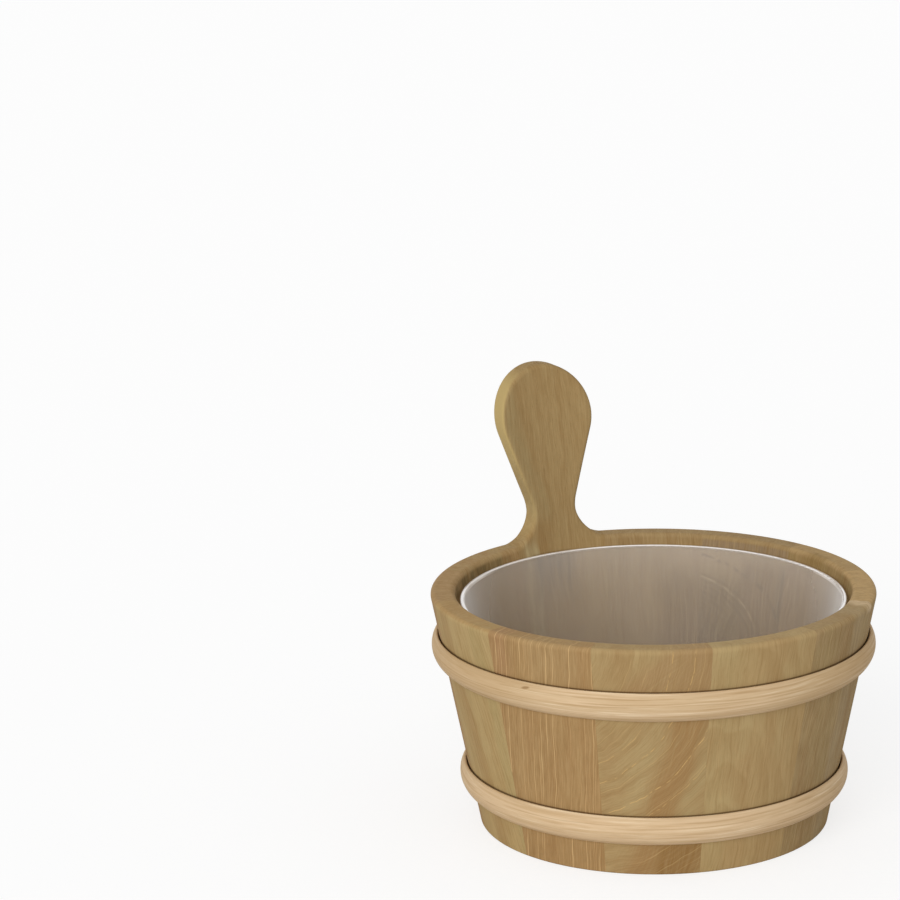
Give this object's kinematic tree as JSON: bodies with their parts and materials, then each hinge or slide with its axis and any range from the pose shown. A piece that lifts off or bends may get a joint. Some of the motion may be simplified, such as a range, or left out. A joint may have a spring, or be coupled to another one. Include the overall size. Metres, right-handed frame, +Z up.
{
  "type": "wooden bucket",
  "caption": "Coopered sauna bucket of hardwood staves with a paddle shaped handle stave, pale half round wooden hoops and a clear plastic liner, standing on its foot ring.",
  "frame": {"origin": "on the bucket's axis, in the plane of the foot ring that it stands on", "axes": "+Z up along the bucket's axis, +Y towards the handle stave, +X to the right seen from the -Y side"},
  "size_m": [0.2796, 0.3023, 0.2659],
  "materials": {
    "stave_wood": "smooth sanded, dull",
    "board_wood": "smooth sanded, dull",
    "hoop_wood": "smooth sanded, dull",
    "liner_plastic": "clear, slightly milky"
  },
  "bodies": {
    "root": {"handle_stave": "stave_wood", "stave_1": "stave_wood", "stave_2": "stave_wood", "stave_3": "stave_wood", "stave_4": "stave_wood", "stave_5": "stave_wood", "stave_6": "stave_wood", "stave_7": "stave_wood", "stave_8": "stave_wood", "stave_9": "stave_wood", "stave_10": "stave_wood", "stave_11": "stave_wood", "bottom_board": "board_wood", "upper_hoop": "hoop_wood", "lower_hoop": "hoop_wood", "liner": "liner_plastic"}
  },
  "joints": []
}
